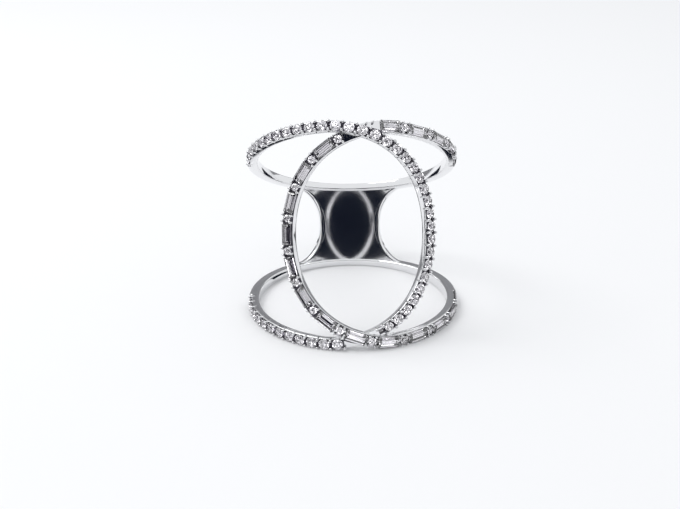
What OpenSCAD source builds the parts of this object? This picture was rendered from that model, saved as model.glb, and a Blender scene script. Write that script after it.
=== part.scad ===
// Interlaced open ring in white metal, set with baguette and round diamonds.
// Two flat shank rings lean apart towards the front, where their ends cross
// and make an upright oval. A waisted plate joins them at the back.
// It lies on its lower shank ring. +Z is up and the stones face -Y.
// Every size is in millimetres and every angle in degrees.

/* [Ring] */
// inner diameter of the finger opening
finger_d = 17.3; // [16.5:0.1:18.5]
// lean of each flat shank ring off the middle plane
shank_lean = 17.8; // [16:0.2:19]
// half height of the ring at its sides, over the outer faces
side_half_h = 6.93; // [6.7:0.01:7.2]
// wall of the plain shank, from finger to outside
shank_t = 0.95; // [0.85:0.05:1.1]
// width of both shanks at the back
back_w = 0.68; // [0.6:0.02:0.9]
// rounding of the plain edges
edge = 0.14; // [0.08:0.02:0.2]

/* [Strand with round stones] */
// width of the strand
round_w = 0.96; // [0.9:0.02:1.06]
// angle from the front at which the shank turns into the oval
round_turn = 21; // [19:0.5:23]
// angle from the front that the oval reaches on the other side
round_reach = 45.6; // [43:0.2:47]

/* [Strand with baguettes] */
// width of the strand
baguette_w = 1.10; // [1.04:0.02:1.2]
// angle from the front at which the shank turns into the oval
baguette_turn = 24; // [22:0.5:26]
// angle from the front that the oval reaches on the other side
baguette_reach = 38.8; // [37:0.2:40]

/* [Stones] */
// distance from one round stone to the next on the round strand
round_pitch = 1.12; // [1.11:0.005:1.14]
// diameter of the stones on the round strand
round_d = 0.94; // [0.85:0.01:0.96]
// distance from one baguette to the next
baguette_pitch = 2.82; // [2.8:0.01:2.85]
// length of a baguette along the strand
baguette_l = 1.85; // [1.7:0.01:1.86]
// width of a baguette across the strand
baguette_b = 0.94; // [0.84:0.02:0.94]
// diameter of the small round stone between two baguettes
accent_d = 0.70; // [0.6:0.02:0.72]

/* [Back plate] */
// half width of the plate at its waist
waist = 2.84; // [2.5:0.02:3.2]
// how much wider each side flares where it meets the shanks
flare = 2.8; // [2.2:0.1:3]
// half height over which the flare runs
flare_h = 3.75; // [3.7:0.01:3.9]
// bevel of the plate's inner edges
plate_bevel = 0.32; // [0.1:0.02:0.36]

/* [Hidden] */
// heights above the finger surface
wall_h = 0.66;
groove_low = 0.28;
prong_foot = 0.46;
prong_top = 1.02;
girdle_low = 0.74;
girdle_top = 0.79;
// a round stone's height under and over its girdle, as shares of its diameter
pavilion_share = 0.40;
crown_share = 0.17;
// a baguette's table, level with the plain shank, and its keel
table_h = 0.95;
keel_h = 0.44;
// the level at which a strand's place and length are measured
mid_rho = 0.42;
mid_r = finger_d / 2 + mid_rho;
slope = tan(shank_lean);
// how quickly the lean fades as a strand leaves its shank ring
lean_hold = 6;
// the stones start this far from the front
first_deg = 92;
past_deg = 4;
// degrees over which the plain wall drops to the stone seat
step_deg = 1.2;
// prongs: radius at the foot, how much thinner the tip is, place on the strand
prong_r = 0.14;
prong_taper = 0.03;
round_prong_a = 0.37;
accent_prong_r = 0.12;
accent_prong_a = 0.43;
accent_prong_l = 0.29;
// half widths of the groove under the stones, at its mouth and its floor
round_groove = [0.40, 0.06];
closing_groove = [0.22, 0.06];
baguette_groove = [0.46, 0.20];
baguette_groove_low = 0.36;
// the shave that makes the underside one flat face
shave = 0.03;
// the object's shift that brings the middle of its box over the origin
centre_y = 0.85;
big = 40;
sections = 13;
fine = 7;

// a strand is [width, turn angle, reach angle]
round_strand = [round_w, round_turn, round_reach];
baguette_strand = [baguette_w, baguette_turn, baguette_reach];

function clamp(v, lo, hi) = max(lo, min(hi, v));
function ease(u) = u * u * (3 - 2 * u);
function unit(v) = v / norm(v);
function arc_mm(deg) = deg * PI / 180 * mid_r;
function mm_arc(mm) = mm / mid_r * 180 / PI;

// where a strand runs: [angle from the front, height along the finger]

// the outer plane of a shank ring
function plane_h(t) = side_half_h + slope * mid_r * cos(t);

// the shanks narrow from the widest point of the ring to its back
function strand_w(s, t) =
    s[0] + (back_w - s[0]) * ease(clamp((abs(t) - 90) / 90, 0, 1));

// centre line of a strand on its shank ring
function leg_h(s, t) = plane_h(t) - strand_w(s, t) / 2 * norm([1, slope]);

// the oval leaves the shank ring smoothly: fall is the shank's slope where
// they meet, and lead is how far past the crest of the oval that place lies
function oval_fall(s) = slope * mid_r * sin(s[1]);
function oval_rise(s) = leg_h(s, -s[1]);
function oval_span(s) = (s[1] + s[2]) * PI / 180;
function oval_lead(s) =
    oval_fall(s) * pow(oval_span(s), 2)
    / (oval_rise(s) + 2 * oval_fall(s) * oval_span(s));
function oval_half_w(s) = oval_span(s) - oval_lead(s);
function oval_half_h(s) =
    sqrt(oval_rise(s) * (oval_rise(s) + oval_fall(s) * oval_lead(s)));

function leg_path(s, from, n) = [
    for (i = [0 : n - 1]) let (t = from + (-s[1] - from) * i / n) [t, leg_h(s, t)]
];

function oval_path(s, n) =
    let (
        lead = oval_lead(s),
        w = oval_half_w(s),
        start = asin(-lead / w),
        crest = -s[1] + lead * 180 / PI
    )
    [
        for (i = [0 : n])
            let (e = start + (90 - start) * i / n)
            [crest + w * 180 / PI * sin(e), oval_half_h(s) * cos(e)]
    ];

function upper_path(s, from, n) =
    concat(leg_path(s, from, n), oval_path(s, n));

// the lower half of a strand mirrors its upper half
function whole_path(s, from, n) =
    let (up = upper_path(s, from, n), m = len(up))
    concat(up, [for (i = [m - 2 : -1 : 0]) [up[i][0], -up[i][1]]]);

function path_step(p, q) = norm([arc_mm(q[0] - p[0]), q[1] - p[1]]);

// running length of a path
function lengths(path) = [
    for (
        i = 0, run = 0;
        i < len(path);
        i = i + 1,
        run = i < len(path) ? run + path_step(path[i - 1], path[i]) : run
    ) run
];

// tables from running length to angle and to height, over the stone-set part
// and a little way past it
function stone_path(s) = whole_path(s, -first_deg - past_deg, sections * fine);
round_path = stone_path(round_strand);
round_run = lengths(round_path);
round_t = [for (i = [0 : len(round_path) - 1]) [round_run[i], round_path[i][0]]];
round_h = [for (i = [0 : len(round_path) - 1]) [round_run[i], round_path[i][1]]];
round_mid = round_run[len(round_run) - 1] / 2;

baguette_path = stone_path(baguette_strand);
baguette_run = lengths(baguette_path);
baguette_t = [
    for (i = [0 : len(baguette_path) - 1]) [baguette_run[i], baguette_path[i][0]]
];
baguette_h = [
    for (i = [0 : len(baguette_path) - 1]) [baguette_run[i], baguette_path[i][1]]
];
baguette_mid = baguette_run[len(baguette_run) - 1] / 2;

function at_round(d) = [lookup(d, round_t), lookup(d, round_h)];
function at_baguette(d) = [lookup(d, baguette_t), lookup(d, baguette_h)];
function is_round(s) = s[2] == round_strand[2];
function at(s, d) = is_round(s) ? at_round(d) : at_baguette(d);
function direction(p, q) = unit([arc_mm(q[0] - p[0]), q[1] - p[1]]);

// from a strand's own place to a point of the ring

// p is the place on the path and dir its direction. a runs across the strand,
// away from the finger opening's middle, and rho up from the finger surface.
function spot(s, p, dir, a, rho) =
    let (
        side = clamp(p[1] / leg_h(s, p[0]), -1, 1),
        up = dir[0],
        lean = shank_lean * cos(p[0]) * sign(side)
            * pow(abs(side), lean_hold) * sign(up),
        dr = rho - mid_rho,
        off = a * cos(lean) + dr * sin(lean),
        rad = mid_r + dr * cos(lean) - a * sin(lean),
        ang = p[0] - off * dir[1] / mid_r * 180 / PI
    )
    [rad * sin(ang), -rad * cos(ang), p[1] + off * up];

// directions along a path, square to the middle plane at its two ends
function path_dirs(path) =
    let (m = len(path))
    [
        for (i = [0 : m - 1])
            i == 0 ? [1, 0]
            : i == m - 1 ? [-1, 0]
            : direction(path[i - 1], path[i + 1])
    ];

// a closed solid through rings of points, all with the same number of points
module through(rings) {
    n = len(rings[0]);
    m = len(rings);
    walls = [
        for (i = [0 : m - 2], j = [0 : n - 1])
            let (k = (j + 1) % n, a = i * n + j, b = i * n + k)
            each [[a, b, b + n], [a, b + n, a + n]]
    ];
    first = [for (j = [n - 1 : -1 : 0]) j];
    last = [for (j = [0 : n - 1]) (m - 1) * n + j];
    polyhedron([for (r = rings) each r], concat(walls, [first, last]));
}

// metal

// a strand's wall is lower under its stones than on the plain shank
function wall_top(t) =
    shank_t + (wall_h - shank_t) * ease(clamp((first_deg + t) / step_deg, 0, 1));

function body_profile(w, top) = [
    [-w / 2 + edge, 0], [-w / 2, edge], [-w / 2, top - edge], [-w / 2 + edge, top],
    [w / 2 - edge, top], [w / 2, top - edge], [w / 2, edge], [w / 2 - edge, 0]
];

// the shank part, the short step down to the stone seats, then the stone part
function body_path(s) =
    let (
        shank = [
            for (i = [0 : sections - 1])
                let (t = -180 + (180 - first_deg) * i / sections) [t, leg_h(s, t)]
        ],
        set = upper_path(s, -first_deg + step_deg, sections),
        up = concat(shank, [[-first_deg, leg_h(s, -first_deg)]], set),
        m = len(up)
    )
    concat(up, [for (i = [m - 2 : -1 : 0]) [up[i][0], -up[i][1]]]);

module strand_body(s) {
    path = body_path(s);
    dirs = path_dirs(path);
    through([
        for (i = [0 : len(path) - 1])
            let (p = path[i])
            [
                for (q = body_profile(strand_w(s, p[0]), wall_top(p[0])))
                    spot(s, p, dirs[i], q[0], q[1])
            ]
    ]);
}

// a groove under a run of stones, from one running length to another
module groove(s, from, to, half, floor_h) {
    n = ceil((to - from) / 0.8);
    mouth = 0.3;
    through([
        for (i = [0 : n])
            let (
                d = from + (to - from) * i / n,
                p = at(s, d),
                dir = direction(at(s, d - 0.05), at(s, d + 0.05)),
                wide = half[0] + mouth * (half[0] - half[1]) / (wall_h - floor_h)
            )
            [
                for (q = [
                    [-half[1], floor_h], [-wide, wall_h + mouth],
                    [wide, wall_h + mouth], [half[1], floor_h]
                ])
                    spot(s, p, dir, q[0], q[1])
            ]
    ]);
}

// moves its children to a running length: +X along, +Y across, +Z outwards
module seat(s, d) {
    p = at(s, d);
    dir = direction(at(s, d - 0.05), at(s, d + 0.05));
    origin = spot(s, p, dir, 0, 0);
    z = unit(spot(s, p, dir, 0, 1) - origin);
    y0 = spot(s, p, dir, 0.1, mid_rho) - spot(s, p, dir, -0.1, mid_rho);
    x = unit(cross(y0, z));
    y = cross(z, x);
    multmatrix([
        [x[0], y[0], z[0], origin[0]],
        [x[1], y[1], z[1], origin[1]],
        [x[2], y[2], z[2], origin[2]],
        [0, 0, 0, 1]
    ])
        children();
}

module prong(r) {
    hull()
        translate([0, 0, prong_foot])
            cylinder(h = prong_top - prong_foot, r1 = r, r2 = r - prong_taper, $fn = 6);
}

// the rows of stones

// room left between a stone's seat and the strand that lies over it
room = 0.06;
// counted from the middle of the strand, the round strand covers this baguette
covered = -4;
// the baguette before it gives way to the round strand, along and across, and
// is cut a little smaller; those before it close up by less and less
give_way = [0.30, 0.08];
smaller = 0.08;

// a place beside a strand's centre line, in the same coordinates as its path
function beside(s, d, a) =
    let (p = at(s, d), dir = direction(at(s, d - 0.05), at(s, d + 0.05)))
    [p[0] - mm_arc(a * dir[1]), p[1] + a * dir[0]];

// distance from a place on one strand to the centre line of the other strand
function clear_of(path, p) =
    min([for (q = path) norm([arc_mm(p[0] + q[0]), p[1] - q[1]])]);

// the baguettes lie over the round strand at the lower crossing
function round_fits(d, a, reach) =
    let (p = beside(round_strand, d, a))
    p[1] > 0 || clear_of(baguette_path, p) > baguette_w / 2 + reach;

// the round strand lies over the baguettes at the upper crossing
function prong_fits(d, a) =
    let (p = beside(baguette_strand, d, a))
    p[1] < 0 || clear_of(round_path, p) > round_w / 2 + accent_prong_r;

round_count = floor((round_mid - arc_mm(past_deg)) / round_pitch);
function round_place(i) = round_mid + i * round_pitch;
full_seats = [
    for (i = [-round_count : round_count - 1])
        let (d = round_place(i + 0.5))
        if (round_fits(d, 0, round_d / 2 + room)) d
];

// the longest step between two neighbours in a row shows where it is broken
function break_at(row) =
    let (
        steps = [for (i = [0 : len(row) - 2]) row[i + 1] - row[i]],
        longest = max(steps)
    )
    [for (i = [0 : len(steps) - 1]) if (steps[i] == longest) i][0];

// at the end of the oval, two smaller stones take the place of the last one
broken = break_at(full_seats);
closing_d = [0.80, 0.54];
closing_gap = 0.12;
closing_1 = full_seats[broken - 1] + (round_d + closing_d[0]) / 2 + closing_gap;
closing_2 = closing_1 + (closing_d[0] + closing_d[1]) / 2 + closing_gap;

// each round stone's running length and diameter
round_seats = concat(
    [for (i = [0 : broken - 1]) [full_seats[i], round_d]],
    [[closing_1, closing_d[0]], [closing_2, closing_d[1]]],
    [for (i = [broken + 1 : len(full_seats) - 1]) [full_seats[i], round_d]]
);

// prongs stand midway between two stones, and half a gap past the smaller ones
round_prongs = concat(
    [
        for (i = [-round_count : round_count])
            if (i < broken - round_count || i > broken - round_count + 1) round_place(i)
    ],
    [
        for (i = [broken - 1 : broken + 1])
            round_seats[i][0] + (round_seats[i][1] + closing_gap) / 2
    ]
);
baguette_count = 9;
function closing_up(i) =
    i >= covered - 0.5 ? 0
    : give_way[0] * (i + baguette_count) / (covered - 1 + baguette_count);
function baguette_place(i) = baguette_mid + i * baguette_pitch - closing_up(i);
baguette_seats = [
    for (i = [-baguette_count : baguette_count]) if (i != covered) baguette_place(i)
];
accent_order = [for (i = [-baguette_count : baguette_count - 1]) i + 0.5];
accent_seats = [for (i = accent_order) if (i != covered - 0.5) baguette_place(i)];

module metal() {
    crossing = covered - 1 + baguette_count;
    closing_edge = closing_1 + closing_d[0] / 2;
    difference() {
        union() {
            strand_body(round_strand);
            mirror([1, 0, 0]) strand_body(baguette_strand);
            back_plate();
        }
        groove(
            round_strand, full_seats[0] - round_pitch / 2, closing_edge,
            round_groove, groove_low
        );
        groove(
            round_strand, closing_edge - room, closing_2 + closing_groove[0],
            closing_groove, groove_low
        );
        groove(
            round_strand, full_seats[broken + 1] - round_pitch / 2,
            full_seats[len(full_seats) - 1] + round_pitch / 2, round_groove, groove_low
        );
        mirror([1, 0, 0]) {
            groove(
                baguette_strand, baguette_seats[0] - baguette_l / 2 - room,
                baguette_seats[crossing] + baguette_l / 2 - smaller,
                baguette_groove, baguette_groove_low
            );
            groove(
                baguette_strand, accent_seats[crossing] - accent_d / 2 - room,
                baguette_seats[len(baguette_seats) - 1] + baguette_l / 2 + room,
                baguette_groove, baguette_groove_low
            );
        }
    }
    for (d = round_prongs, side = [-1, 1])
        if (round_fits(d, side * round_prong_a, prong_r))
            seat(round_strand, d) translate([0, side * round_prong_a, 0]) prong(prong_r);
    mirror([1, 0, 0])
        for (i = accent_order, along = [-1, 1], side = [-1, 1])
            let (d = baguette_place(i))
            if (prong_fits(d + along * accent_prong_l, side * accent_prong_a))
                seat(baguette_strand, d)
                    translate([along * accent_prong_l, side * accent_prong_a, 0])
                        prong(accent_prong_r);
}

// the plate is one wall between the shanks, with both sides curved inwards
plate_rows = 16;
plate_cols = 8;
plate_half_h = 3.70;
function plate_half_w(h) =
    waist + flare * (1 - sqrt(1 - pow(clamp(h / flare_h, -1, 1), 2)));

function plate_ring(h) =
    let (
        w = plate_half_w(h),
        flat = w - plate_bevel,
        inside = [for (i = [0 : plate_cols]) [-flat + 2 * flat * i / plate_cols, 0]],
        outside = [
            for (i = [0 : plate_cols])
                [w - edge - 2 * (w - edge) * i / plate_cols, shank_t - edge / 2]
        ]
    )
    concat(inside, [[w, plate_bevel], [w, shank_t - edge]], outside,
           [[-w, shank_t - edge], [-w, plate_bevel]]);

module back_plate() {
    through([
        for (i = [0 : plate_rows])
            let (h = plate_half_h * (1 - 2 * i / plate_rows))
            [
                for (q = plate_ring(h))
                    let (r = finger_d / 2 + q[1], ang = mm_arc(q[0]))
                    [r * sin(ang), r * cos(ang), h]
            ]
    ]);
}

// placing the ring on its lower shank ring

module laid_down() {
    translate([0, centre_y, side_half_h * cos(shank_lean) - shave])
        rotate([-shank_lean, 0, 0])
            children();
}

// pieces

module band() {
    color("silver")
        intersection() {
            laid_down() metal();
            translate([-big / 2, -big / 2, 0]) cube(big);
        }
}

// a cut round stone with eight sides, its table about half as wide as its girdle
module cut_round(d) {
    n = 8;
    table_share = 0.56;
    culet = girdle_low - pavilion_share * d;
    table = girdle_top + crown_share * d;
    ring = [for (j = [0 : n - 1]) let (a = (j + 0.5) * 360 / n) [cos(a), sin(a)] * d / 2];
    points = concat(
        [[0, 0, culet]],
        [for (q = ring) [q[0], q[1], girdle_low]],
        [for (q = ring) [q[0], q[1], girdle_top]],
        [for (q = ring * table_share) [q[0], q[1], table]]
    );
    polyhedron(points, concat(
        [for (j = [0 : n - 1]) [0, 1 + j, 1 + (j + 1) % n]],
        [
            for (row = [0, 1], j = [0 : n - 1])
                let (a = 1 + row * n + j, b = 1 + row * n + (j + 1) % n)
                each [[a, b + n, b], [a, a + n, b + n]]
        ],
        [[for (j = [n - 1 : -1 : 0]) 1 + 2 * n + j]]
    ));
}

// a step-cut baguette: a long table, two crown steps, a girdle and a keel
module baguette_stone(length, width) {
    l = length / 2;
    w = width / 2;
    level = [
        // height, half length, half width
        [table_h, l - 0.18, w - 0.20],
        [table_h - 0.05, l - 0.10, w - 0.11],
        [girdle_top, l, w],
        [girdle_low, l, w],
        [keel_h + 0.12, l - 0.16, w - 0.20],
        [keel_h, l - 0.30, 0.05]
    ];
    through([
        for (i = [len(level) - 1 : -1 : 0])
            let (v = level[i])
            [[-v[1], -v[2], v[0]], [-v[1], v[2], v[0]], [v[1], v[2], v[0]], [v[1], -v[2], v[0]]]
    ]);
}

module round_stones() {
    color("white")
        laid_down()
            for (q = round_seats) seat(round_strand, q[0]) cut_round(q[1]);
}

module accent_stones() {
    color("white")
        laid_down()
            mirror([1, 0, 0])
                for (d = accent_seats) seat(baguette_strand, d) cut_round(accent_d);
}

module baguette(i) {
    gives_way = i - 1 == covered - 1 + baguette_count;
    less = gives_way ? smaller : 0;
    color("white")
        laid_down()
            mirror([1, 0, 0])
                seat(baguette_strand, baguette_seats[i - 1])
                    translate([0, gives_way ? give_way[1] : 0, 0])
                        baguette_stone(baguette_l - less, baguette_b - less / 2);
}

band();
round_stones();
accent_stones();
baguette(1);  // baguette_01
baguette(2);  // baguette_02
baguette(3);  // baguette_03
baguette(4);  // baguette_04
baguette(5);  // baguette_05
baguette(6);  // baguette_06
baguette(7);  // baguette_07
baguette(8);  // baguette_08
baguette(9);  // baguette_09
baguette(10);  // baguette_10
baguette(11);  // baguette_11
baguette(12);  // baguette_12
baguette(13);  // baguette_13
baguette(14);  // baguette_14
baguette(15);  // baguette_15
baguette(16);  // baguette_16
baguette(17);  // baguette_17
baguette(18);  // baguette_18
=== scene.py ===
import math

import bmesh
import bpy
import numpy as np
from bpy.props import FloatProperty, FloatVectorProperty, PointerProperty
from mathutils import Matrix, Vector


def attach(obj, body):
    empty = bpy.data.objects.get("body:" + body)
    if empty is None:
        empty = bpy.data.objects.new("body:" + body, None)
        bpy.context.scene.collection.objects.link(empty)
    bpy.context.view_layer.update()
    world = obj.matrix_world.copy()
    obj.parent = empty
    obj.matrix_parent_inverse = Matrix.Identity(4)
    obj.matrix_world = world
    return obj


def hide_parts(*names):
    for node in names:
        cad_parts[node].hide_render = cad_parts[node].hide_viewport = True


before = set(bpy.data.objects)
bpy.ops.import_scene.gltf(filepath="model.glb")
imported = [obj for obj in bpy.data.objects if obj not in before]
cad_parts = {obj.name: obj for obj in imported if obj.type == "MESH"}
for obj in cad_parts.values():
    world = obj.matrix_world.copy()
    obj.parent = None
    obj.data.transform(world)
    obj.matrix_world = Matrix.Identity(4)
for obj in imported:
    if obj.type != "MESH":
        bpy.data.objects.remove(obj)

bl_info = {
    "name": "Interlaced baguette ring",
    "version": (1, 0, 0),
    "blender": (4, 5, 0),
    "location": "3D View > Sidebar > Ring",
    "description": "Builds an interlaced open ring set with baguette and round stones",
    "category": "Object",
}

# metres in a millimetre
MM = 0.001

# the lengths from here down to the scene's sizes are in mm

# the level above the finger surface at which a strand's place and length are measured
MID_RHO = 0.42
# how quickly a strand's lean fades as it leaves its shank ring
LEAN_HOLD = 6
# the stones start this many degrees from the front
FIRST_DEG = 92.0
# how far the whole ring is pressed down, so that its lowest face lies flat
SHAVE = 0.03
# how far it is moved back, so that the middle of its box is over the origin
CENTRE_Y = 0.85
# rounding of a strand's lower corners, across and up, and of its upper corners where
# it is plain and where it holds stones
LOWER_CORNER = (0.10, 0.24)
PLAIN_CORNER, SET_CORNER = 0.20, 0.07
# the length over which the plain wall drops to the setting
DROP = 0.22
# baguettes counted from the middle of their strand: the one hidden at the upper
# crossing, the last one on the oval and the last one at each end
COVERED = -4
LAST_ON_OVAL = 3
BAGUETTES_EACH_WAY = 9
# how much smaller the baguette at the upper crossing is, and how far it stands aside
CROSSING_LESS = 0.08
CROSSING_ASIDE = 0.08
# the two round stones that close the oval's row, and the gap before each
CLOSING_D = (0.80, 0.54)
CLOSING_GAP = 0.12
# room between a stone and the strand that lies over it
ROOM = 0.06
# levels above the finger surface: both edges of a stone's girdle, a prong's foot and
# tip, and the floor of the groove under the stones
GIRDLE_LOW, GIRDLE_TOP = 0.74, 0.79
PRONG_FOOT, PRONG_TOP = 0.41, 1.02
ROUND_GROOVE_LOW, BAGUETTE_GROOVE_LOW = 0.28, 0.26
# half widths of the grooves' mouths and floors, and how far one reaches into the next
# or past its last stone
ROUND_MOUTH, CLOSING_MOUTH, BAGUETTE_MOUTH = 0.40, 0.22, 0.46
GROOVE_FLOOR = 0.06
OVERLAP = 0.06
# prongs: their radius, and how far they stand beside the row's middle line and along
# it from an accent stone
ROUND_PRONG_R, ROUND_PRONG_SIDE = 0.14, 0.37
ACCENT_PRONG_R, ACCENT_PRONG_SIDE, ACCENT_PRONG_ALONG = 0.12, 0.43, 0.29
# a round stone's height over and under its girdle, as shares of its diameter
CROWN_SHARE, PAVILION_SHARE = 0.17, 0.43
# a baguette's steps: level, how much shorter and how much narrower at each end or side
BAGUETTE_STEPS = (
    (0.29, 0.36, 0.455), (0.43, 0.22, 0.299), (0.58, 0.10, 0.144), (GIRDLE_LOW, 0, 0),
    (GIRDLE_TOP, 0, 0), (0.85, 0.045, 0.05), (0.90, 0.10, 0.11), (0.95, 0.18, 0.20),
)


# the sizes, kept on the scene

class RingShape(bpy.types.PropertyGroup):
    finger_d: FloatProperty(name="Finger opening", description="Inner diameter of the ring",
                            default=17.3 * MM, unit="LENGTH")
    lean: FloatProperty(name="Lean", description="Lean of each flat shank ring off the middle plane",
                        default=math.radians(17.8), subtype="ANGLE")
    side_half_h: FloatProperty(name="Half height", description="Half height of the ring at its sides",
                               default=6.93 * MM, unit="LENGTH")
    shank_t: FloatProperty(name="Shank wall", description="Wall of the plain shank",
                           default=0.95 * MM, unit="LENGTH")
    back_w: FloatProperty(name="Back width", description="Width of both shanks at the back",
                          default=0.68 * MM, unit="LENGTH")
    wall_h: FloatProperty(name="Setting wall", description="Height of the metal under the stones",
                          default=0.66 * MM, unit="LENGTH")
    round_w: FloatProperty(name="Round strand width", description="Width of the strand with round stones",
                           default=0.96 * MM, unit="LENGTH")
    round_turn: FloatProperty(name="Round strand turn", description="Where that shank turns into the oval",
                              default=math.radians(21), subtype="ANGLE")
    round_reach: FloatProperty(name="Round strand reach",
                               description="How far round that side of the oval lies",
                               default=math.radians(45.6), subtype="ANGLE")
    baguette_w: FloatProperty(name="Baguette strand width",
                              description="Width of the strand with baguettes",
                              default=1.10 * MM, unit="LENGTH")
    baguette_turn: FloatProperty(name="Baguette strand turn",
                                 description="Where that shank turns into the oval",
                                 default=math.radians(24), subtype="ANGLE")
    baguette_reach: FloatProperty(name="Baguette strand reach",
                                  description="How far round that side of the oval lies",
                                  default=math.radians(38.8), subtype="ANGLE")


class PlateShape(bpy.types.PropertyGroup):
    waist: FloatProperty(name="Waist", description="Half width of the back plate at its waist",
                         default=2.84 * MM, unit="LENGTH")
    flare: FloatProperty(name="Flare", description="How much wider each side is where it meets the shanks",
                         default=2.8 * MM, unit="LENGTH")
    flare_h: FloatProperty(name="Flare height", description="Half height over which the flare runs",
                           default=3.75 * MM, unit="LENGTH")
    half_h: FloatProperty(name="Half height", description="Half height of the plate",
                          default=3.70 * MM, unit="LENGTH")
    rounding: FloatProperty(name="Edge rounding", description="How far the edges are rounded",
                            default=0.34 * MM, unit="LENGTH")
    dome: FloatProperty(name="Dome",
                        description="How far the inner face falls away at its top and bottom",
                        default=0.22 * MM, unit="LENGTH")
    dome_low: FloatProperty(name="Dome middle",
                            description="How far below the middle the inner face is highest",
                            default=0.6 * MM, unit="LENGTH")


class StoneSizes(bpy.types.PropertyGroup):
    round_pitch: FloatProperty(name="Round pitch", description="Distance from one round stone to the next",
                               default=1.12 * MM, unit="LENGTH")
    round_d: FloatProperty(name="Round diameter", description="Diameter of the round stones",
                           default=0.94 * MM, unit="LENGTH")
    baguette_pitch: FloatProperty(name="Baguette pitch",
                                  description="Distance from one baguette to the next",
                                  default=2.82 * MM, unit="LENGTH")
    baguette_l: FloatProperty(name="Baguette length", description="Length of a baguette",
                              default=1.85 * MM, unit="LENGTH")
    baguette_b: FloatProperty(name="Baguette width", description="Width of a baguette",
                              default=0.94 * MM, unit="LENGTH")
    accent_d: FloatProperty(name="Accent diameter", description="Diameter of the stones between baguettes",
                            default=0.70 * MM, unit="LENGTH")
    give_way: FloatProperty(name="Give way",
                            description="How far the baguette at the upper crossing moves along its strand",
                            default=0.30 * MM, unit="LENGTH")


class StageLook(bpy.types.PropertyGroup):
    focal: FloatProperty(name="Focal length", description="Lens of the camera, for a 36 mm wide sensor",
                         default=63.1)
    distance: FloatProperty(name="Distance", description="From the camera to the middle of the ring",
                            default=110 * MM, unit="LENGTH")
    side: FloatProperty(name="Side", description="How far the camera stands to the left",
                        default=math.radians(1.64), subtype="ANGLE")
    rise: FloatProperty(name="Rise", description="How far it stands above the ring's own middle plane",
                        default=math.radians(3.09), subtype="ANGLE")
    key_power: FloatProperty(name="Key light", description="Power of the large soft light",
                             default=0.30, unit="POWER")
    spark_power: FloatProperty(name="Small lights", description="Power of each small light for the stones",
                               default=0.09, unit="POWER")
    sky: FloatProperty(name="Surround", description="Brightness of the white surround", default=0.92)
    floor_tone: FloatVectorProperty(name="Floor colour", description="Colour of the pale floor",
                                    default=(0.86, 0.86, 0.87), subtype="COLOR", size=3)


# where a strand runs

class Ring:
    """The ring's sizes in millimetres and the rules that its strands follow."""

    def __init__(self, scene):
        for group in (scene.ring_shape, scene.ring_stones, scene.ring_plate):
            for key in group.bl_rna.properties.keys():
                prop = group.bl_rna.properties[key]
                if prop.type == "FLOAT":
                    value = getattr(group, key)
                    if prop.subtype == "ANGLE":
                        setattr(self, key, math.degrees(value))
                    else:
                        setattr(self, key, value / MM)
        self.mid_r = self.finger_d / 2 + MID_RHO
        self.slope = math.tan(math.radians(self.lean))

    def strand(self, kind):
        if kind == "round":
            return Strand(self, self.round_w, self.round_turn, self.round_reach, 1)
        return Strand(self, self.baguette_w, self.baguette_turn, self.baguette_reach, -1)

    def world(self, points):
        """Lays points of the upright ring down on its lower shank ring, in metres."""
        a = math.radians(self.lean)
        x, y, h = np.asarray(points, float).T
        out = np.stack([
            x,
            y * math.cos(a) + h * math.sin(a) + CENTRE_Y,
            h * math.cos(a) - y * math.sin(a) + self.side_half_h * math.cos(a) - SHAVE,
        ], 1)
        return out * MM


def ease(u):
    u = np.clip(u, 0, 1)
    return u * u * (3 - 2 * u)


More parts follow.
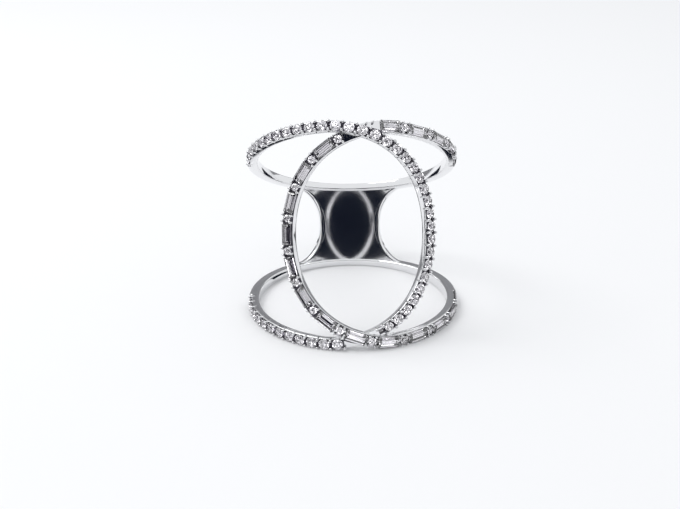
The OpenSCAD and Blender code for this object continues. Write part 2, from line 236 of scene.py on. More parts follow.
class Strand:
    """One strand: its path as angle from the front and height along the finger."""

    def __init__(self, ring, width, turn, reach, mirror):
        self.ring, self.w, self.turn, self.reach, self.mirror = ring, width, turn, reach, mirror
        span = math.radians(turn + reach)
        fall = ring.slope * ring.mid_r * math.sin(math.radians(turn))
        rise = float(self.leg_h(-turn))
        lead = fall * span ** 2 / (rise + 2 * fall * span)
        self.half_w, self.half_h = span - lead, math.sqrt(rise * (rise + fall * lead))
        crest = -turn + math.degrees(lead)
        start = math.asin(-lead / self.half_w)
        leg = np.linspace(-180, -turn, 700)
        e = np.linspace(start, math.pi / 2, 900)[1:]
        t = np.concatenate([leg, crest + math.degrees(self.half_w) * np.sin(e)])
        h = np.concatenate([self.leg_h(leg), self.half_h * np.cos(e)])
        self.t = np.concatenate([t, t[::-1][1:]])
        self.h = np.concatenate([h, -h[::-1][1:]])
        x = np.radians(self.t) * ring.mid_r
        self.run = np.concatenate([[0], np.cumsum(np.hypot(np.diff(x), np.diff(self.h)))])
        self.mid = self.run[-1] / 2
        self.first = float(np.interp(-FIRST_DEG, t, self.run[: len(t)]))

    def width(self, t):
        return self.w + (self.ring.back_w - self.w) * ease((np.abs(t) - 90) / 90)

    def leg_h(self, t):
        r = self.ring
        plane = r.side_half_h + r.slope * r.mid_r * np.cos(np.radians(t))
        return plane - self.width(t) / 2 * math.hypot(1, r.slope)

    def at(self, run):
        return np.interp(run, self.run, self.t), np.interp(run, self.run, self.h)

    def direction(self, run):
        run = np.clip(run, 0.05, self.run[-1] - 0.05)
        t0, h0 = self.at(run - 0.04)
        t1, h1 = self.at(run + 0.04)
        x, y = np.radians(t1 - t0) * self.ring.mid_r, h1 - h0
        n = np.hypot(x, y)
        return x / n, y / n

    def spot(self, run, across, rho, ends=False):
        """The point of the upright ring at a running length, an offset across the
        strand and a height above the finger surface."""
        r = self.ring
        run, across, rho = np.broadcast_arrays(*(np.asarray(v, float) for v in (run, across, rho)))
        t, h = self.at(run)
        along, up = self.direction(run)
        if ends:
            for end, sign in ((0, 1), (-1, -1)):
                along[end], up[end] = sign, 0
        side = np.clip(h / self.leg_h(t), -1, 1)
        lean = np.radians(r.lean) * np.cos(np.radians(t)) * np.sign(side)
        lean = lean * np.abs(side) ** LEAN_HOLD * np.sign(along)
        dr = rho - MID_RHO
        off = across * np.cos(lean) + dr * np.sin(lean)
        rad = r.mid_r + dr * np.cos(lean) - across * np.sin(lean)
        ang = np.radians(t) - off * up / r.mid_r
        return np.stack([self.mirror * rad * np.sin(ang), -rad * np.cos(ang), h + off * along], -1)

    def beside(self, run, across):
        """A place beside the centre line, unrolled to millimetres."""
        t, h = self.at(run)
        along, up = self.direction(run)
        return self.mirror * (np.radians(t) * self.ring.mid_r - across * up), h + across * along

    def clear_of(self, run, across):
        """Distance from such a place to the other strand's centre line."""
        other = self.ring.strand("baguette" if self.mirror == 1 else "round")
        x, h = self.beside(run, across)
        ox = other.mirror * np.radians(other.t) * other.ring.mid_r
        return float(np.hypot(ox - x, other.h - h).min()), h

    def seat(self, run):
        """Origin and axes at a running length: along, across and outwards, in the world."""
        o, z, y0, y1 = self.ring.world([
            self.spot(run, 0, 0), self.spot(run, 0, 1),
            self.spot(run, -0.1, MID_RHO), self.spot(run, 0.1, MID_RHO),
        ])
        z = (z - o) / np.linalg.norm(z - o)
        x = np.cross(y1 - y0, z) * self.mirror
        x = x / np.linalg.norm(x)
        return o, x, np.cross(z, x), z


# the rows of stones and prongs

def lower_crossing(strand, run, across, reach):
    """True where the strand with baguettes lies over the strand with round stones."""
    gap, h = strand.clear_of(run, across)
    return h < 0 and gap <= strand.ring.baguette_w / 2 + reach


def round_seats(ring):
    """Places and diameters of the round stones before and after the lower crossing,
    and the places of the prongs. The last two before it are smaller."""
    strand = ring.strand("round")
    pitch, gap = ring.round_pitch, CLOSING_GAP
    count = int((strand.mid - strand.first) / pitch - 0.05)
    row = [strand.mid + (i + 0.5) * pitch for i in range(-count, count)]
    full = [d for d in row if not lower_crossing(strand, d, 0, ring.round_d / 2 + ROOM)]
    broken = int(np.argmax(np.diff(full)))
    before = [(d, ring.round_d) for d in full[:broken]]
    for size in CLOSING_D:
        last, last_d = before[-1]
        before.append((last + (last_d + size) / 2 + gap, size))
    prongs = [strand.mid + i * pitch for i in range(-count, count + 1)
              if not 0 <= i - (broken - count) <= 1]
    prongs += [d + (size + gap) / 2 for d, size in before[-3:]]
    return strand, before, [(d, ring.round_d) for d in full[broken + 1:]], prongs


def baguette_place(ring, strand, i):
    """Running length of a baguette, or of an accent at a half number. Those before the
    upper crossing close up by less and less."""
    closer = 0.0
    if i < COVERED - 0.5:
        closer = ring.give_way * (i + BAGUETTES_EACH_WAY) / (COVERED - 1 + BAGUETTES_EACH_WAY)
    return strand.mid + i * ring.baguette_pitch - closer


def baguette_seats(ring):
    strand = ring.strand("baguette")
    order = [i for i in range(-BAGUETTES_EACH_WAY, BAGUETTES_EACH_WAY + 1) if i != COVERED]
    return strand, [(i, baguette_place(ring, strand, i)) for i in order]


def accent_seats(ring):
    strand = ring.strand("baguette")
    order = [i + 0.5 for i in range(-BAGUETTES_EACH_WAY, BAGUETTES_EACH_WAY)]
    return strand, [(i, baguette_place(ring, strand, i)) for i in order]


# mesh helpers

def finish_mesh(name, mesh):
    """A mesh object of the ring, with nothing below the table."""
    co = np.zeros(len(mesh.vertices) * 3, np.float32)
    mesh.vertices.foreach_get("co", co)
    co[2::3] = np.maximum(co[2::3], 0)
    mesh.vertices.foreach_set("co", co)
    mesh.update()
    obj = bpy.data.objects.new(name, mesh)
    bpy.context.scene.collection.objects.link(obj)
    return obj


def new_mesh(name, points, faces, smooth=True):
    mesh = bpy.data.meshes.new(name)
    mesh.from_pydata([tuple(p) for p in points], [], faces)
    bm = bmesh.new()
    bm.from_mesh(mesh)
    bmesh.ops.recalc_face_normals(bm, faces=bm.faces)
    bm.to_mesh(mesh)
    bm.free()
    mesh.polygons.foreach_set("use_smooth", [smooth] * len(mesh.polygons))
    return mesh


def through(name, rings):
    """A closed mesh through rings of points, with a flat cap at both ends."""
    m, n = rings.shape[:2]
    i = np.arange(m - 1)[:, None] * n
    j = np.arange(n)[None]
    k = (j + 1) % n
    walls = np.stack([i + j, i + k, i + n + k, i + n + j], -1).reshape(-1, 4).tolist()
    caps = [list(range(n)), list(range((m - 1) * n, m * n))]
    return new_mesh(name, rings.reshape(-1, 3), walls + caps)


def rounded_profile(width, top, low, top_r, steps=5):
    """Round-cornered section of a strand, as (across, height) pairs. Its lower
    corners are oval: low is how far they reach across and up."""
    side, up = width / 2 - low[0], low[1]
    top_side, top_up = width / 2 - top_r, top - top_r
    corners = [
        (-side, up, *low, 180), (side, up, *low, 270),
        (top_side, top_up, top_r, top_r, 0), (-top_side, top_up, top_r, top_r, 90),
    ]
    out = []
    for cx, cy, across, rise, start in corners:
        for a in np.radians(np.linspace(start, start + 90, steps + 1)):
            out.append((cx + across * math.cos(a), cy + rise * math.sin(a)))
    return np.array(out)


def as_object(mesh):
    obj = bpy.data.objects.new(mesh.name, mesh)
    bpy.context.scene.collection.objects.link(obj)
    return obj


def evaluated_copy(obj, name):
    """The object's evaluated shape as a plain mesh. The source object goes."""
    bpy.context.view_layer.update()
    mesh = bpy.data.meshes.new_from_object(obj.evaluated_get(bpy.context.evaluated_depsgraph_get()))
    mesh.name = name
    bpy.data.objects.remove(obj)
    return mesh


def painted(obj, metal_and_painted_shade, which=0):
    """Gives a mesh the polished metal and the metal with painted shade, and one of them on all its faces.
    """
    obj.data.materials.clear()
    for finish in metal_and_painted_shade:
        obj.data.materials.append(finish)
    obj.data.polygons.foreach_set("material_index", [which] * len(obj.data.polygons))
    return obj


def combine(obj, others, operation):
    """Cuts or joins meshes with obj, one after the other, and returns the result.
    What a cut lays bare takes the finish of the mesh that cuts."""
    for other in others:
        mod = obj.modifiers.new("cut", "BOOLEAN")
        mod.operation, mod.solver, mod.object = operation, "MANIFOLD", other
    mesh = evaluated_copy(obj, obj.name)
    for other in others:
        bpy.data.objects.remove(other)
    return as_object(mesh)


def crease(mesh, angle):
    """Smooth shading with sharp edges where faces meet at more than the angle."""
    mesh.polygons.foreach_set("use_smooth", [True] * len(mesh.polygons))
    bm = bmesh.new()
    bm.from_mesh(mesh)
    for e in bm.edges:
        e.smooth = len(e.link_faces) == 2 and e.calc_face_angle(0) < math.radians(angle)
    bm.to_mesh(mesh)
    bm.free()


# node trees

def tree_of(name, inputs):
    tree = bpy.data.node_groups.new(name, "GeometryNodeTree")
    face = tree.interface
    face.new_socket("Geometry", in_out="INPUT", socket_type="NodeSocketGeometry")
    for label, kind in inputs:
        face.new_socket(label, in_out="INPUT", socket_type=kind)
    face.new_socket("Geometry", in_out="OUTPUT", socket_type="NodeSocketGeometry")
    return tree, tree.nodes.new("NodeGroupInput"), tree.nodes.new("NodeGroupOutput")


def set_inputs(mod, tree, values):
    ids = {i.name: i.identifier for i in tree.interface.items_tree
           if i.item_type == "SOCKET" and i.in_out == "INPUT"}
    for label, value in values.items():
        mod[ids[label]] = value


def scatter_tree():
    """Puts one small piece on each point, turned and sized as the point's own
    attributes say."""
    tree, first, last = tree_of("Scatter along a strand", [
        ("Piece", "NodeSocketObject"),
        ("Finish", "NodeSocketMaterial"),
    ])
    link = tree.links.new
    piece = tree.nodes.new("GeometryNodeObjectInfo")
    turn = tree.nodes.new("GeometryNodeInputNamedAttribute")
    turn.data_type = "FLOAT_VECTOR"
    turn.inputs["Name"].default_value = "turn"
    own = tree.nodes.new("GeometryNodeInputNamedAttribute")
    own.data_type = "FLOAT"
    own.inputs["Name"].default_value = "size"
    put = tree.nodes.new("GeometryNodeInstanceOnPoints")
    real = tree.nodes.new("GeometryNodeRealizeInstances")
    paint = tree.nodes.new("GeometryNodeSetMaterial")
    link(first.outputs["Piece"], piece.inputs["Object"])
    link(first.outputs["Geometry"], put.inputs["Points"])
    link(piece.outputs["Geometry"], put.inputs["Instance"])
    link(turn.outputs["Attribute"], put.inputs["Rotation"])
    link(own.outputs["Attribute"], put.inputs["Scale"])
    link(put.outputs["Instances"], real.inputs["Geometry"])
    link(real.outputs["Geometry"], paint.inputs["Geometry"])
    link(first.outputs["Finish"], paint.inputs["Material"])
    link(paint.outputs["Geometry"], last.inputs[0])
    return tree


def scatter(name, mesh, places, finish, sizes=None):
    """One mesh of copies of a small piece, set at (origin, x, y, z) places, each
    at its own share of the full size."""
    seeds = bpy.data.meshes.new(name + "_places")
    seeds.from_pydata([tuple(p[0]) for p in places], [], [])
    turn = seeds.attributes.new("turn", "FLOAT_VECTOR", "POINT")
    flat = []
    for _, x, y, z in places:
        flat.extend(Matrix((x, y, z)).transposed().to_euler())
    turn.data.foreach_set("vector", flat)
    share = seeds.attributes.new("size", "FLOAT", "POINT")
    share.data.foreach_set("value", sizes or [1.0] * len(places))
    holder, piece = as_object(seeds), as_object(mesh)
    tree = bpy.data.node_groups.get("Scatter along a strand") or scatter_tree()
    mod = holder.modifiers.new("Scatter", "NODES")
    mod.node_group = tree
    set_inputs(mod, tree, {"Piece": piece, "Finish": finish})
    out = finish_mesh(name, evaluated_copy(holder, name))
    bpy.data.objects.remove(piece)
    return out


def plate_tree():
    """The waisted back plate, bent round the finger from a plain block."""
    sizes = ("Waist", "Flare", "Flare height", "Half height", "Rounding",
             "Dome", "Dome middle", "Radius", "Wall")
    tree, first, last = tree_of("Waisted plate", [
        *((label, "NodeSocketFloat") for label in sizes), ("Finish", "NodeSocketMaterial"),
    ])
    nodes, link = tree.nodes, tree.links.new
    given = first.outputs

    def math_node(operation, a, b=None):
        node = nodes.new("ShaderNodeMath")
        node.operation = operation
        for socket, value in zip(node.inputs, (a, b)):
            if value is None:
                continue
            if isinstance(value, (int, float)):
                socket.default_value = value
            else:
                link(value, socket)
        return node.outputs[0]

    block = nodes.new("GeometryNodeMeshCube")
    block.inputs["Size"].default_value = (2, 2, 2)
    block.inputs["Vertices X"].default_value = 61
    block.inputs["Vertices Y"].default_value = 9
    block.inputs["Vertices Z"].default_value = 41
    place = nodes.new("GeometryNodeInputPosition")
    split = nodes.new("ShaderNodeSeparateXYZ")
    link(place.outputs[0], split.inputs[0])
    u, depth, v = split.outputs
    h = math_node("MULTIPLY", v, given["Half height"])
    share = math_node("DIVIDE", h, given["Flare height"])
    root = math_node("SQRT", math_node("SUBTRACT", 1.0, math_node("MULTIPLY", share, share)))
    flare = math_node("MULTIPLY", given["Flare"], math_node("SUBTRACT", 1.0, root))
    half_w = math_node("ADD", given["Waist"], flare)
    # towards the sides, both faces of the block curve in to a round edge
    x = math_node("MULTIPLY", math_node("SINE", math_node("MULTIPLY", u, math.pi / 2)), half_w)
    inset = math_node("SUBTRACT", half_w, math_node("ABSOLUTE", x))
    near = math_node("MINIMUM", math_node("DIVIDE", inset, given["Rounding"]), 1.0)
    away = math_node("SUBTRACT", 1.0, near)
    rest = math_node("SUBTRACT", 1.0, math_node("MULTIPLY", away, away))
    full = math_node("SQRT", math_node("MAXIMUM", rest, 0.0))
    half_wall = math_node("MULTIPLY", given["Wall"], 0.5)
    # at the very side, the wall keeps this share of its thickness
    kept = 0.35
    over = math_node("ADD", math_node("MULTIPLY", full, 1.0 - kept), kept)
    round_part = math_node("MINIMUM", over, 1.0)
    out = math_node("MULTIPLY", math_node("MULTIPLY", depth, half_wall), round_part)
    # the inner face falls away from its peak towards the top and the bottom
    inner = math_node("MULTIPLY", math_node("SUBTRACT", 1.0, depth), 0.5)
    below = math_node("ADD", h, given["Dome middle"])
    from_peak = math_node("DIVIDE", below, given["Half height"])
    fall = math_node("MULTIPLY", math_node("MULTIPLY", given["Dome"], inner),
                     math_node("MULTIPLY", from_peak, from_peak))
    middle = math_node("ADD", math_node("ADD", given["Radius"], half_wall), fall)
    radius = math_node("ADD", middle, out)
    angle = math_node("DIVIDE", x, given["Radius"])
    joined = nodes.new("ShaderNodeCombineXYZ")
    link(math_node("MULTIPLY", radius, math_node("SINE", angle)), joined.inputs[0])
    link(math_node("MULTIPLY", radius, math_node("COSINE", angle)), joined.inputs[1])
    link(h, joined.inputs[2])
    move = nodes.new("GeometryNodeSetPosition")
    real = nodes.new("GeometryNodeRealizeInstances")
    paint = nodes.new("GeometryNodeSetMaterial")
    link(block.outputs["Mesh"], move.inputs["Geometry"])
    link(joined.outputs[0], move.inputs["Position"])
    link(move.outputs["Geometry"], real.inputs["Geometry"])
    link(real.outputs["Geometry"], paint.inputs["Geometry"])
    link(given["Finish"], paint.inputs["Material"])
    link(paint.outputs["Geometry"], last.inputs[0])
    return tree


# materials

def shader(name):
    mat = bpy.data.materials.new(name)
    mat.use_nodes = True
    return mat, mat.node_tree.nodes, mat.node_tree.links.new, mat.node_tree.nodes["Principled BSDF"]


def object_noise(nodes, link, scale, detail=2.0):
    place = nodes.new("ShaderNodeTexCoord")
    noise = nodes.new("ShaderNodeTexNoise")
    noise.inputs["Scale"].default_value = scale
    noise.inputs["Detail"].default_value = detail
    link(place.outputs["Object"], noise.inputs["Vector"])
    return noise


def spread(nodes, link, value, low, high):
    node = nodes.new("ShaderNodeMapRange")
    node.inputs["To Min"].default_value = low
    node.inputs["To Max"].default_value = high
    link(value, node.inputs["Value"])
    return node.outputs["Result"]


def mottled(nodes, link, bsdf, scale, low, high):
    """Base colour that wanders between two near tones."""
    noise = object_noise(nodes, link, scale)
    mix = nodes.new("ShaderNodeMix")
    mix.data_type = "RGBA"
    tones = [socket for socket in mix.inputs if socket.type == "RGBA"]
    for socket, tone in zip(tones, (low, high)):
        socket.default_value = (*tone, 1)
    link(noise.outputs["Fac"], mix.inputs["Factor"])
    link(next(out for out in mix.outputs if out.type == "RGBA"), bsdf.inputs["Base Color"])


def white_gold():
    """Polished metal with the faintest wear."""
    mat, nodes, link, bsdf = shader("polished white gold")
    bsdf.inputs["Base Color"].default_value = (0.85, 0.85, 0.86, 1)
    bsdf.inputs["Metallic"].default_value = 1.0
    wear = object_noise(nodes, link, scale=420.0)
    link(spread(nodes, link, wear.outputs["Fac"], low=0.05, high=0.13), bsdf.inputs["Roughness"])
    bump = nodes.new("ShaderNodeBump")
    bump.inputs["Strength"].default_value = 0.04
    bump.inputs["Distance"].default_value = 0.00002
    fine = object_noise(nodes, link, scale=1800.0, detail=3.0)
    link(fine.outputs["Fac"], bump.inputs["Height"])
    link(bump.outputs["Normal"], bsdf.inputs["Normal"])
    return mat


def painted_shade_seat():
    """The rougher metal of the grooves under the stones, its colour darkened as painted shade."""
    mat, nodes, link, bsdf = shader("shaded seat metal")
    bsdf.inputs["Metallic"].default_value = 1.0
    bsdf.inputs["Roughness"].default_value = 0.45
    # painted shade: a dark colour standing for the shade under the stones
    mottled(nodes, link, bsdf, 900.0, (0.20, 0.19, 0.23), (0.40, 0.39, 0.44))
    return mat


def clear_stone():
    """Clear cut stone, tinted as little as can be."""
    mat, nodes, link, bsdf = shader("clear diamond")
    bsdf.inputs["Metallic"].default_value = 0.0
    bsdf.inputs["Roughness"].default_value = 0.0
    bsdf.inputs["IOR"].default_value = 2.42
    bsdf.inputs["Transmission Weight"].default_value = 1.0
    mottled(nodes, link, bsdf, 260.0, (0.96, 0.93, 1.0), (1.0, 0.98, 0.99))
    return mat


def matte(name, scale, low, high):
    """A dull surface for the floor and the cards."""
    mat, nodes, link, bsdf = shader(name)
    bsdf.inputs["Roughness"].default_value = 0.9
    bsdf.inputs["Specular IOR Level"].default_value = 0.0
    mottled(nodes, link, bsdf, scale, low, high)
    return mat


def pale_floor(tone):
    return matte("pale floor", 6.0, [0.985 * c for c in tone], tone)


def dark_card():
    return matte("dark card", 8.0, (0.005, 0.007, 0.013), (0.010, 0.012, 0.021))


def grey_card():
    return matte("grey card", 8.0, (0.20, 0.20, 0.21), (0.42, 0.42, 0.43))


def finish_of(name, maker, *args):
    """The material of that name, made when it is first asked for."""
    return bpy.data.materials.get(name) or maker(*args)


# small pieces

def brilliant(name, diameter):
    """A round brilliant: table, stars, mains and halves over a 16-sided girdle."""
    r = diameter / 2
    crown, pavilion = CROWN_SHARE * diameter, PAVILION_SHARE * diameter
    table, culet = GIRDLE_TOP + crown, GIRDLE_LOW - pavilion

    def ring_of(count, turn, radius, z):
        a = np.arange(count) * 2 * math.pi / count + turn
        return [(radius * math.cos(t), radius * math.sin(t), z) for t in a]

    half = math.pi / 8
    points = (
        ring_of(8, 0, 0.56 * r, table)
        + ring_of(8, half, 0.765 * r, table - 0.334 * crown)
        + ring_of(16, 0, r, GIRDLE_TOP) + ring_of(16, 0, r, GIRDLE_LOW)
        + ring_of(8, half, 0.24 * r, culet + 0.222 * pavilion) + [(0, 0, culet)]
    )
    tab, mid, top, low, pav, tip = 0, 8, 16, 32, 48, 56
    faces = [[tab + k for k in range(8)]]
    for k in range(8):
        nxt, prev = (k + 1) % 8, (k - 1) % 8
        g0, g1, g2 = 2 * k, 2 * k + 1, (2 * k + 2) % 16
        faces += [
            [tab + k, tab + nxt, mid + k],
            [tab + k, mid + k, top + g0, mid + prev],
            [mid + k, top + g1, top + g0], [mid + k, top + g2, top + g1],
            [pav + k, low + g0, low + g1], [pav + k, low + g1, low + g2],
            [tip, pav + prev, low + g0, pav + k],
        ]
    for g in range(16):
        nxt = (g + 1) % 16
        faces.append([top + g, top + nxt, low + nxt, low + g])
    return new_mesh(name, np.array(points) * MM, faces, smooth=False)


def step_cut(name, length, width):
    """A baguette through a rectangle at each of its steps, down to a narrow keel."""
    keel = 0.02
    rings = []
    for z, less_l, less_w in BAGUETTE_STEPS:
        x, y = length / 2 - less_l, max(width / 2 - less_w, keel)
        rings.append([(-x, -y, z), (x, -y, z), (x, y, z), (-x, y, z)])
    mesh = through(name, np.array(rings) * MM)
    mesh.polygons.foreach_set("use_smooth", [False] * len(mesh.polygons))
    return mesh


def bead_prong(name, radius, sides=10):
    """A round prong with a worn, rounded tip."""
    neck, tip = radius * 0.96, radius * 0.9
    rings = [(radius, PRONG_FOOT), (neck, PRONG_TOP - tip)]
    for a in np.radians((25, 50, 75)):
        rings.append((neck * math.cos(a), PRONG_TOP - tip * (1 - math.sin(a))))
    ang = np.arange(sides) * 2 * math.pi / sides
    out = np.array([[(r * math.cos(a), r * math.sin(a), z) for a in ang] for r, z in rings])
    return through(name, out * MM)


# operators

class RING_OT_make_metal(bpy.types.Operator):
    """Both strands and the back plate as one soldered body, grooved under the stones"""
    bl_idname = "ring.make_metal"
    bl_label = "Make the band"

    def lay(self, ring, name, sections):
        """A closed object through sections of the upright ring, laid down with it."""
        points = ring.world(sections.reshape(-1, 3))
        return as_object(through(name, points.reshape(sections.shape)))

    def body(self, ring, kind):
        """One strand, from the back of its upper shank to the back of its lower one."""
        strand = ring.strand(kind)
        end, step = strand.run[-1], 0.22
        # the sections stand closer where the plain wall drops to the setting
        closer = np.linspace(-0.3, 0.3, 9)
        runs = np.unique(np.concatenate([
            np.arange(0, end, step), [end], strand.first + closer, end - strand.first + closer,
        ]))
        from_end = np.minimum(runs, end - runs)
        drop = ease((from_end - strand.first) / DROP)
        tops = ring.shank_t + (ring.wall_h - ring.shank_t) * drop
        t, _ = strand.at(runs)
        widths = strand.width(t)
        profiles = np.array([
            rounded_profile(w, top, LOWER_CORNER, PLAIN_CORNER + (SET_CORNER - PLAIN_CORNER) * d)
            for w, top, d in zip(widths, tops, drop)
        ])
        rings = np.stack([
            strand.spot(runs, profiles[:, j, 0], profiles[:, j, 1], ends=True)
            for j in range(profiles.shape[1])
        ], 1)
        return self.lay(ring, kind + "_strand", rings)

    def groove(self, ring, strand, start, end, mouth, low):
        """A cutter along a strand. It ends above the wall, at the same slope."""
        step, above = 0.25, 0.3
        runs = np.linspace(start, end, max(3, int((end - start) / step)))
        floor, top = GROOVE_FLOOR, ring.wall_h + above
        wide = mouth + above * (mouth - floor) / (ring.wall_h - low)
        corners = [(-floor, low), (floor, low), (wide, top), (-wide, top)]
        return self.lay(ring, "groove", np.stack([strand.spot(runs, a, z) for a, z in corners], 1))

    def plate(self, ring, finish):
        """The back plate, laid down with the ring and closed where its sides meet."""
        tree = plate_tree()
        holder = as_object(bpy.data.meshes.new("plate"))
        mod = holder.modifiers.new("Plate", "NODES")
        mod.node_group = tree
        set_inputs(mod, tree, {
            "Waist": ring.waist, "Flare": ring.flare, "Flare height": ring.flare_h,
            "Half height": ring.half_h, "Rounding": ring.rounding, "Dome": ring.dome,
            "Dome middle": ring.dome_low,
            "Radius": ring.finger_d / 2, "Wall": ring.shank_t, "Finish": finish,
        })
        mesh = evaluated_copy(holder, "plate")
        co = np.array([v.co for v in mesh.vertices])
        mesh.vertices.foreach_set("co", ring.world(co).astype(np.float32).ravel())
        bm = bmesh.new()
        bm.from_mesh(mesh)
        bmesh.ops.remove_doubles(bm, verts=bm.verts, dist=1e-8)
        bmesh.ops.recalc_face_normals(bm, faces=bm.faces)
        bm.to_mesh(mesh)
        bm.free()
        return as_object(mesh)

    def round_cuts(self, ring):
        """Grooves before the lower crossing, under its two smaller stones and after it."""
        strand, before, after, _ = round_seats(ring)
        half = ring.round_pitch / 2
        edge = before[-2][0] + before[-2][1] / 2
        past_last = 0.22
        return [self.groove(ring, strand, *reach, ROUND_GROOVE_LOW) for reach in (
            (before[0][0] - half, edge, ROUND_MOUTH),
            (edge - OVERLAP, before[-1][0] + past_last, CLOSING_MOUTH),
            (after[0][0] - half, after[-1][0] + half, ROUND_MOUTH),
        )]

    def baguette_cuts(self, ring):
        """Grooves on the oval, before the upper crossing and after the oval."""
        strand, seats = baguette_seats(ring)
        places, half = dict(seats), ring.baguette_l / 2
        first_accent = baguette_place(ring, strand, COVERED + 0.5)
        oval_end = places[LAST_ON_OVAL] + half
        return [self.groove(ring, strand, *reach, BAGUETTE_MOUTH, BAGUETTE_GROOVE_LOW) for reach in (
            (first_accent - ring.accent_d / 2 - OVERLAP, oval_end),
            (places[-BAGUETTES_EACH_WAY] - half - OVERLAP, places[COVERED - 1] + half - CROSSING_LESS),
            (oval_end - OVERLAP, places[BAGUETTES_EACH_WAY] + half + OVERLAP),
        )]

    def execute(self, context):
        ring = Ring(context.scene)
        finish = finish_of("polished white gold", white_gold)
        metal_and_painted_shade = (finish, finish_of("shaded seat metal", painted_shade_seat))
        parts = [self.plate(ring, finish), self.body(ring, "round"), self.body(ring, "baguette")]
        plate, *strands = [painted(part, metal_and_painted_shade) for part in parts]
        band = combine(strands[0], [strands[1], plate], "UNION")
        on_oval, *others = self.baguette_cuts(ring)
        # painted shade on the round grooves and on the baguette groove on the oval; the other baguette
        # grooves stay polished
        cuts = [painted(cut, metal_and_painted_shade, 1) for cut in (*self.round_cuts(ring), on_oval)]
        cuts += [painted(cut, metal_and_painted_shade) for cut in others]
        for cut in cuts:
            band = combine(band, [cut], "DIFFERENCE")
        mesh = band.data.copy()
        bpy.data.objects.remove(band)
        crease(mesh, angle=32)
        out = finish_mesh("band_metal", mesh)
        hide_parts("band")
        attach(out, "root")
        return {"FINISHED"}


class RING_OT_add_prongs(bpy.types.Operator):
    """Rounded prongs between the round stones and at the baguettes' corners"""
    bl_idname = "ring.add_prongs"
    bl_label = "Add the prongs"

    def execute(self, context):
        ring = Ring(context.scene)
        finish = finish_of("polished white gold", white_gold)
        strand, _, _, prongs = round_seats(ring)
        places = []
        for d in prongs:
            o, x, y, z = strand.seat(d)
            for side in (-ROUND_PRONG_SIDE, ROUND_PRONG_SIDE):
                if not lower_crossing(strand, d, side, ROUND_PRONG_R):
                    places.append((o + y * side * MM, x, y, z))
        rounds = scatter("prongs_round", bead_prong("prong", ROUND_PRONG_R), places, finish)
        strand, seats = accent_seats(ring)
        places = []
        for _, d in seats:
            o, x, y, z = strand.seat(d)
            for along in (-ACCENT_PRONG_ALONG, ACCENT_PRONG_ALONG):
                for side in (-ACCENT_PRONG_SIDE, ACCENT_PRONG_SIDE):
                    gap, h = strand.clear_of(d + along, side)
                    if h < 0 or gap > ring.round_w / 2 + ACCENT_PRONG_R:
                        places.append((o + (x * along + y * side * strand.mirror) * MM, x, y, z))
        accents = scatter("prongs_accent", bead_prong("prong", ACCENT_PRONG_R), places, finish)
        for obj in (rounds, accents):
            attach(obj, "root")
        return {"FINISHED"}


class RING_OT_set_round_stones(bpy.types.Operator):
    """The row of round brilliants"""
    bl_idname = "ring.set_round_stones"
    bl_label = "Set the round stones"

    def execute(self, context):
        ring = Ring(context.scene)
        strand, before, after, _ = round_seats(ring)
        row = before + after
        stone, finish = brilliant("brilliant", ring.round_d), finish_of("clear diamond", clear_stone)
        places, shares = zip(*((strand.seat(d), size / ring.round_d) for d, size in row))
        out = scatter("round_diamonds", stone, places, finish, shares)
        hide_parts("round_stones")
        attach(out, "root")
        return {"FINISHED"}


class RING_OT_set_accents(bpy.types.Operator):
    """The small brilliants between the baguettes"""
    bl_idname = "ring.set_accents"
    bl_label = "Set the accent stones"

    def execute(self, context):
        ring = Ring(context.scene)
        strand, seats = accent_seats(ring)
        stone = brilliant("small_brilliant", ring.accent_d)
        places = [strand.seat(d) for i, d in seats if i != COVERED - 0.5]
        out = scatter("accent_diamonds", stone, places, finish_of("clear diamond", clear_stone))
        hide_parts("accent_stones")
        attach(out, "root")
        return {"FINISHED"}


class RING_OT_set_baguettes(bpy.types.Operator):
    """The step-cut baguettes, the one at the upper crossing a little smaller"""
    bl_idname = "ring.set_baguettes"
    bl_label = "Set the baguettes"

    def execute(self, context):
        ring = Ring(context.scene)
        strand, seats = baguette_seats(ring)
        finish = finish_of("clear diamond", clear_stone)
        full = step_cut("baguette_cut", ring.baguette_l, ring.baguette_b)
        small = step_cut("small_baguette_cut", ring.baguette_l - CROSSING_LESS,
                         ring.baguette_b - CROSSING_LESS / 2)
        rest = [strand.seat(d) for i, d in seats if i != COVERED - 1]
        out = scatter("baguette_diamonds", full, rest, finish)
        o, x, y, z = strand.seat(dict(seats)[COVERED - 1])
        aside = y * CROSSING_ASIDE * strand.mirror * MM
        crossing = scatter("crossing_baguette", small, [(o + aside, x, y, z)], finish)
        names = ["baguette_%02d" % (n + 1) for n in range(len(seats))]
        at_crossing = names[COVERED - 1 + BAGUETTES_EACH_WAY]
        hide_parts(*[n for n in names if n != at_crossing])
        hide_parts(at_crossing)
        for obj in (out, crossing):
            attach(obj, "root")
        return {"FINISHED"}


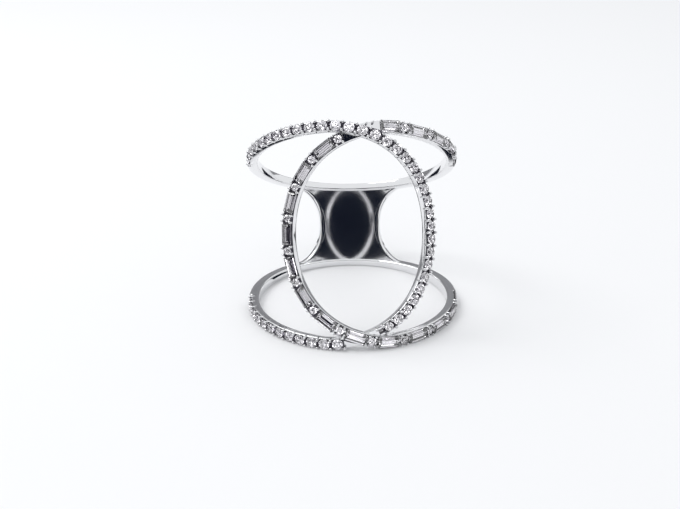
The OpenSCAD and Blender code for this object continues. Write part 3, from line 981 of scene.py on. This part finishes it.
class RING_OT_set_stage(bpy.types.Operator):
    """Pale floor, soft light, cards for the metal and the stones to show, and the camera"""
    bl_idname = "ring.set_stage"
    bl_label = "Set the stage"

    def flat(self, name, x, y, z, finish):
        """A level rectangle from x[0] to x[1] and y[0] to y[1] at height z."""
        corners = [(x[0], y[0], z), (x[1], y[0], z), (x[1], y[1], z), (x[0], y[1], z)]
        obj = as_object(new_mesh(name, corners, [[0, 1, 2, 3]], smooth=False))
        obj.data.materials.append(finish)
        return obj

    def mirrored_only(self, obj, for_stones=False):
        """Only mirror images show the card, or only what is seen through the stones."""
        obj.visible_camera = obj.visible_diffuse = obj.visible_shadow = False
        obj.visible_glossy, obj.visible_transmission = not for_stones, for_stones

    def facing(self, place, target):
        back = (Vector(place) - Vector(target)).normalized()
        return Matrix.Translation(place) @ back.to_track_quat("Z", "Y").to_matrix().to_4x4()

    def soft_light(self, name, place, size, power):
        data = bpy.data.lights.new(name, "AREA")
        data.shape, data.size, data.energy = "SQUARE", size, power
        obj = bpy.data.objects.new(name, data)
        bpy.context.scene.collection.objects.link(obj)
        obj.matrix_world = self.facing(place, (0, 0, 0.008))
        return obj

    def spark(self, name, place, size, power):
        """A small light that gleams in the stones alone."""
        light = self.soft_light(name, place, size, power)
        light.visible_diffuse = light.visible_glossy = False

    def wall(self, name, start, end, far, foot, rise, finish, for_stones=False):
        """A curved wall round the ring, from one azimuth to another, seen only in
        mirror images or only through the stones. It stands from its foot up to the
        rise, an angle worked out at each azimuth."""
        n = 48
        a = np.radians(np.linspace(start, end, n + 1))
        top = far * np.tan(np.radians([rise(t) for t in a]))
        rings = np.array([[(far * math.cos(t), far * math.sin(t), z) for t, z in zip(a, level)]
                          for level in (np.full(n + 1, foot), top)])
        i = np.arange(n)
        faces = np.stack([i, i + 1, n + 2 + i, n + 1 + i], 1).tolist()
        obj = as_object(new_mesh(name, rings.reshape(-1, 3), faces, smooth=False))
        obj.data.materials.append(finish)
        self.mirrored_only(obj, for_stones)

    def execute(self, context):
        scene = context.scene
        ring, look = Ring(scene), scene.ring_stage
        floor = finish_of("pale floor", pale_floor, tuple(look.floor_tone))
        self.flat("floor", x=(-1.5, 1.5), y=(-1.5, 1.5), z=0.0, finish=floor)
        middle = Vector(ring.world([(0, 0, 0)])[0])
        d, side, rise = look.distance / MM, look.side, look.rise
        eye = Vector(ring.world([(
            -d * math.sin(side) * math.cos(rise), -d * math.cos(side) * math.cos(rise), d * math.sin(rise),
        )])[0])
        data = bpy.data.cameras.new("camera")
        data.lens, data.sensor_width, data.sensor_fit = look.focal, 36, "HORIZONTAL"
        data.shift_x, data.shift_y = -0.01806, -0.03692
        data.clip_start, data.clip_end = 0.005, 10
        camera = bpy.data.objects.new("camera", data)
        scene.collection.objects.link(camera)
        camera.matrix_world = self.facing(eye, middle)
        scene.camera = camera
        dark, grey = finish_of("dark card", dark_card), finish_of("grey card", grey_card)
        # lengths in metres, azimuths in degrees: 0 to the right and 270 to the front
        self.wall("dark_card", 190, 350, far=0.12, foot=0.0,
                  rise=lambda t: 5 - 37 * math.sin(t), finish=dark)
        self.wall("grey_card", 35, 138, far=0.5, foot=0.012,
                  rise=lambda t: 5 + 25 * math.sin(t), finish=grey)
        self.wall("grey_left", 138, 170, far=0.5, foot=0.012, rise=lambda t: 23, finish=grey)
        stripes = (
            # start, end, rise
            (198, 210, 60), (222, 232, 60), (242, 292, 32), (302, 312, 60), (324, 336, 60),
        )
        for n, (start, end, height) in enumerate(stripes):
            self.wall("stripe_%d" % (n + 1), start, end, far=0.49, foot=0.05,
                      rise=lambda t: height, finish=dark, for_stones=True)
        low_cards = (
            # name, reach from left to right, reach from front to back
            ("near_left", (-0.016, -0.0055), (0.0035, 0.0098)),
            ("far_left", (-0.060, -0.016), (0.0035, 0.050)),
            ("near_right", (0.0098, 0.016), (0.0055, 0.0106)),
            ("far_right", (0.016, 0.060), (0.0080, 0.050)),
        )
        for name, x, y in low_cards:
            self.mirrored_only(self.flat(name, x, y, z=0.0005, finish=dark))
        self.soft_light("key", (-0.16, 0.05, 0.26), size=0.16, power=look.key_power)
        # eight small lights over the front, by turns low and high
        far = 0.42
        for n in range(8):
            azimuth, rise = math.radians(200 + 20 * n), math.radians((38, 62)[n % 2])
            out = far * math.cos(rise)
            place = (out * math.cos(azimuth), out * math.sin(azimuth), far * math.sin(rise))
            self.spark("spark_%d" % (n + 1), place, size=0.07, power=look.spark_power)
        world = bpy.data.worlds.new("surround")
        world.use_nodes = True
        sky = world.node_tree.nodes["Background"]
        sky.inputs["Color"].default_value = (0.97, 0.985, 1.0, 1)
        sky.inputs["Strength"].default_value = look.sky
        scene.world = world
        scene.view_settings.view_transform = "Standard"
        return {"FINISHED"}


class RING_PT_sidebar(bpy.types.Panel):
    """Buttons that build the ring piece by piece"""
    bl_idname = "RING_PT_sidebar"
    bl_label = "Baguette ring"
    bl_space_type = "VIEW_3D"
    bl_region_type = "UI"
    bl_category = "Ring"

    def draw(self, context):
        for operator in OPERATORS:
            self.layout.operator(operator.bl_idname)


GROUPS = {
    "ring_shape": RingShape, "ring_plate": PlateShape,
    "ring_stones": StoneSizes, "ring_stage": StageLook,
}
OPERATORS = (
    RING_OT_make_metal, RING_OT_add_prongs, RING_OT_set_round_stones,
    RING_OT_set_accents, RING_OT_set_baguettes, RING_OT_set_stage,
)


def register():
    for cls in (*GROUPS.values(), *OPERATORS, RING_PT_sidebar):
        bpy.utils.register_class(cls)
    for name, cls in GROUPS.items():
        setattr(bpy.types.Scene, name, PointerProperty(type=cls))


def unregister():
    for name in GROUPS:
        delattr(bpy.types.Scene, name)
    for cls in reversed((*GROUPS.values(), *OPERATORS, RING_PT_sidebar)):
        bpy.utils.unregister_class(cls)


def main():
    register()
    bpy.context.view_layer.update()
    bpy.ops.ring.make_metal()
    bpy.ops.ring.add_prongs()
    bpy.ops.ring.set_round_stones()
    bpy.ops.ring.set_accents()
    bpy.ops.ring.set_baguettes()
    bpy.ops.ring.set_stage()


if __name__ == "__main__":
    main()
